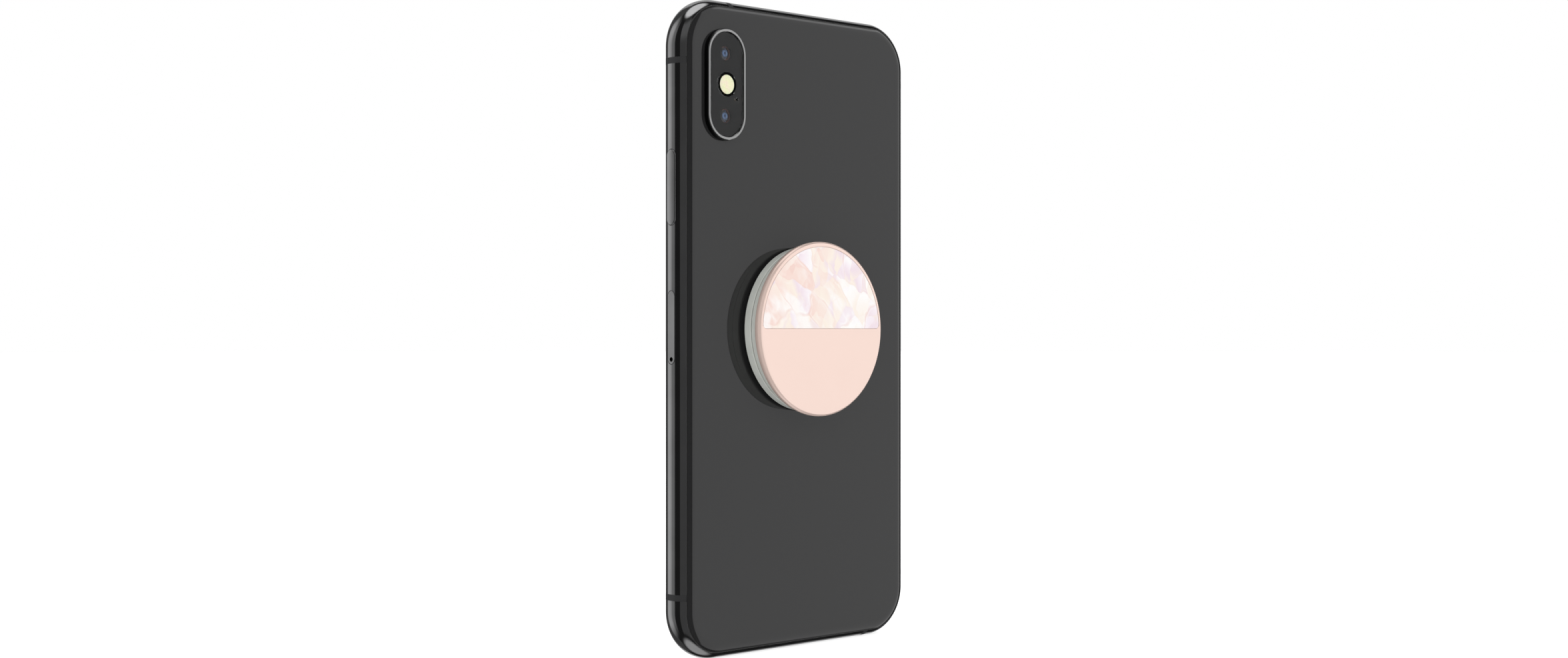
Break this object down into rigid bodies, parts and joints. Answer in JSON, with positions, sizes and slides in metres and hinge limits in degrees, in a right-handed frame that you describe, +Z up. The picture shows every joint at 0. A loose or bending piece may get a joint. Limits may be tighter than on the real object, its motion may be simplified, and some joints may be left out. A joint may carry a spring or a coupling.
{
  "type": "smartphone",
  "caption": "Slab smartphone with a steel band, glass front and back, a rear camera ring, press buttons, a SIM tray and a round collapsible grip on its back.",
  "frame": {"origin": "middle of the bottom edge, at the mouth of the charging port, half way through the thickness", "axes": "+Z up the length towards the earpiece, +Y out of the rear glass, +X towards the side button and SIM tray"},
  "size_m": [0.0714, 0.0146, 0.1436],
  "materials": {
    "band_steel": "polished dark grey stainless steel",
    "break_plastic": "satin dark grey insert moulding",
    "inner_metal": "milled, bead blasted",
    "back_glass": "glossy glass over an opaque dark grey layer",
    "front_glass": "glossy glass over a black display",
    "gasket": "black moulded gasket",
    "display_black": "unlit display panel",
    "shield_steel": "thin stamped sheet",
    "mesh_black": "fine woven mesh, black",
    "module_black": "moulded module housing",
    "ring_steel": "polished ring with a black side",
    "camera_glass": "glossy black-backed cover glass",
    "lens_glass": "coated lens, blue tint",
    "flash_plastic": "cream diffuser with fine rings",
    "board_green": "circuit board",
    "battery_black": "wrapped pouch cell",
    "adhesive_white": "pull tape",
    "gold_contact": "gold plated",
    "card_white": "plain card",
    "button_steel": "polished dark grey stainless steel",
    "coil_copper": "wound copper litz",
    "ferrite": "sintered ferrite sheet",
    "screw_steel": "small plated screw",
    "gel_black": "sticky gel pad",
    "grip_plastic": "translucent grey-white plastic",
    "grip_stem": "flexible grey-white stem",
    "rose_gold": "satin rose gold",
    "pearl": "pearl marbled inlay"
  },
  "bodies": {
    "phone": {"frame_band": "band_steel", "antenna_breaks": "break_plastic", "mid_plate": "inner_metal", "rear_glass": "back_glass", "rear_seal": "gasket", "display_glass": "front_glass", "display_seal": "gasket", "display_panel": "display_black", "display_backplate": "shield_steel", "earpiece_mesh": "mesh_black", "earpiece_speaker": "module_black", "front_sensor_bracket": "shield_steel", "front_camera": "module_black", "infrared_camera": "module_black", "dot_projector": "module_black", "camera_ring": "ring_steel", "camera_cover_glass": "camera_glass", "camera_light_mask": "display_black", "camera_bracket": "shield_steel", "wide_camera": "module_black", "tele_camera": "module_black", "flash_lens": "flash_plastic", "flash_board": "card_white", "rear_microphone": "gold_contact", "logic_board": "board_green", "board_shields": "shield_steel", "battery_cells": "battery_black", "battery_adhesive": "adhesive_white", "haptic_case": "shield_steel", "loudspeaker": "module_black", "bottom_microphones": "gold_contact", "charging_connector": "shield_steel", "charging_contacts": "gold_contact", "sim_reader": "shield_steel", "side_switch": "shield_steel", "volume_switches": "shield_steel", "mute_switch_body": "module_black", "wireless_coil": "coil_copper", "coil_shield": "ferrite", "internal_screws": "screw_steel", "bottom_screws": "screw_steel", "grip_adhesive": "gel_black", "grip_base": "grip_plastic"},
    "sim_tray_body": {"sim_tray": "button_steel", "sim_card": "card_white"},
    "sim_eject_rod": {"sim_eject_rod": "shield_steel"},
    "sim_eject_lever": {"sim_eject_lever": "shield_steel"},
    "side_button": {"side_button": "button_steel"},
    "volume_up_button": {"volume_up_button": "button_steel"},
    "volume_down_button": {"volume_down_button": "button_steel"},
    "mute_switch": {"mute_switch": "button_steel"},
    "haptic_mass": {"haptic_mass": "ferrite"},
    "wide_lens": {"wide_lens": "lens_glass"},
    "tele_lens": {"tele_lens": "lens_glass"},
    "grip_collar_low": {"grip_collar_low": "grip_stem"},
    "grip_collar_mid": {"grip_collar_mid": "grip_stem"},
    "grip_collar_high": {"grip_collar_high": "grip_stem"},
    "grip_tray": {"grip_tray": "grip_plastic"},
    "grip_top": {"grip_cap": "rose_gold", "grip_inlay": "pearl"}
  },
  "joints": [
    {"name": "side_button_press", "type": "slide", "parent": "phone", "child": "side_button", "axis": [-1, 0, 0], "range_m": [0, 0.0003], "stiffness_N_per_m": 6000, "springref_m": -0.0002},
    {"name": "volume_up_press", "type": "slide", "parent": "phone", "child": "volume_up_button", "axis": [1, 0, 0], "range_m": [0, 0.0003], "stiffness_N_per_m": 6000, "springref_m": -0.0002},
    {"name": "volume_down_press", "type": "slide", "parent": "phone", "child": "volume_down_button", "axis": [1, 0, 0], "range_m": [0, 0.0003], "stiffness_N_per_m": 6000, "springref_m": -0.0002},
    {"name": "mute_switch_slide", "type": "slide", "parent": "phone", "child": "mute_switch", "axis": [0, 1, 0], "range_m": [0, 0.0012]},
    {"name": "sim_tray_slide", "type": "slide", "parent": "phone", "child": "sim_tray_body", "axis": [1, 0, 0], "range_m": [0, 0.018]},
    {"name": "sim_rod_push", "type": "slide", "parent": "phone", "child": "sim_eject_rod", "axis": [-1, 0, 0], "range_m": [0, 0.0015]},
    {"name": "sim_lever_turn", "type": "hinge", "parent": "phone", "child": "sim_eject_lever", "pos_m": [0.0131, 0, 0.07], "axis": [0, 1, 0], "range_deg": [0, 19]},
    {"name": "haptic_shake", "type": "slide", "parent": "phone", "child": "haptic_mass", "axis": [1, 0, 0], "range_m": [-0.0008, 0.0008], "stiffness_N_per_m": 3000},
    {"name": "wide_lens_focus", "type": "slide", "parent": "phone", "child": "wide_lens", "axis": [0, 1, 0], "range_m": [0, 0.0002], "stiffness_N_per_m": 300},
    {"name": "tele_lens_focus", "type": "slide", "parent": "phone", "child": "tele_lens", "axis": [0, 1, 0], "range_m": [0, 0.0002], "stiffness_N_per_m": 300},
    {"name": "grip_extend", "type": "slide", "parent": "phone", "child": "grip_tray", "axis": [0, 1, 0], "range_m": [0, 0.015]},
    {"name": "grip_collar_low_slide", "type": "slide", "parent": "phone", "child": "grip_collar_low", "axis": [0, 1, 0], "range_m": [0, 0.00376]},
    {"name": "grip_collar_mid_slide", "type": "slide", "parent": "phone", "child": "grip_collar_mid", "axis": [0, 1, 0], "range_m": [0, 0.00751]},
    {"name": "grip_collar_high_slide", "type": "slide", "parent": "phone", "child": "grip_collar_high", "axis": [0, 1, 0], "range_m": [0, 0.01126]},
    {"name": "grip_turn", "type": "hinge", "parent": "grip_tray", "child": "grip_top", "pos_m": [0, 0.00975, 0.0718], "axis": [0, 1, 0], "range_deg": [0, 90]}
  ],
  "couplings": [
    {"joint": "sim_lever_turn", "follows": "sim_rod_push", "rad_per_m": 209.44},
    {"joint": "grip_collar_low_slide", "follows": "grip_extend", "ratio": 0.25},
    {"joint": "grip_collar_mid_slide", "follows": "grip_extend", "ratio": 0.5},
    {"joint": "grip_collar_high_slide", "follows": "grip_extend", "ratio": 0.75}
  ]
}
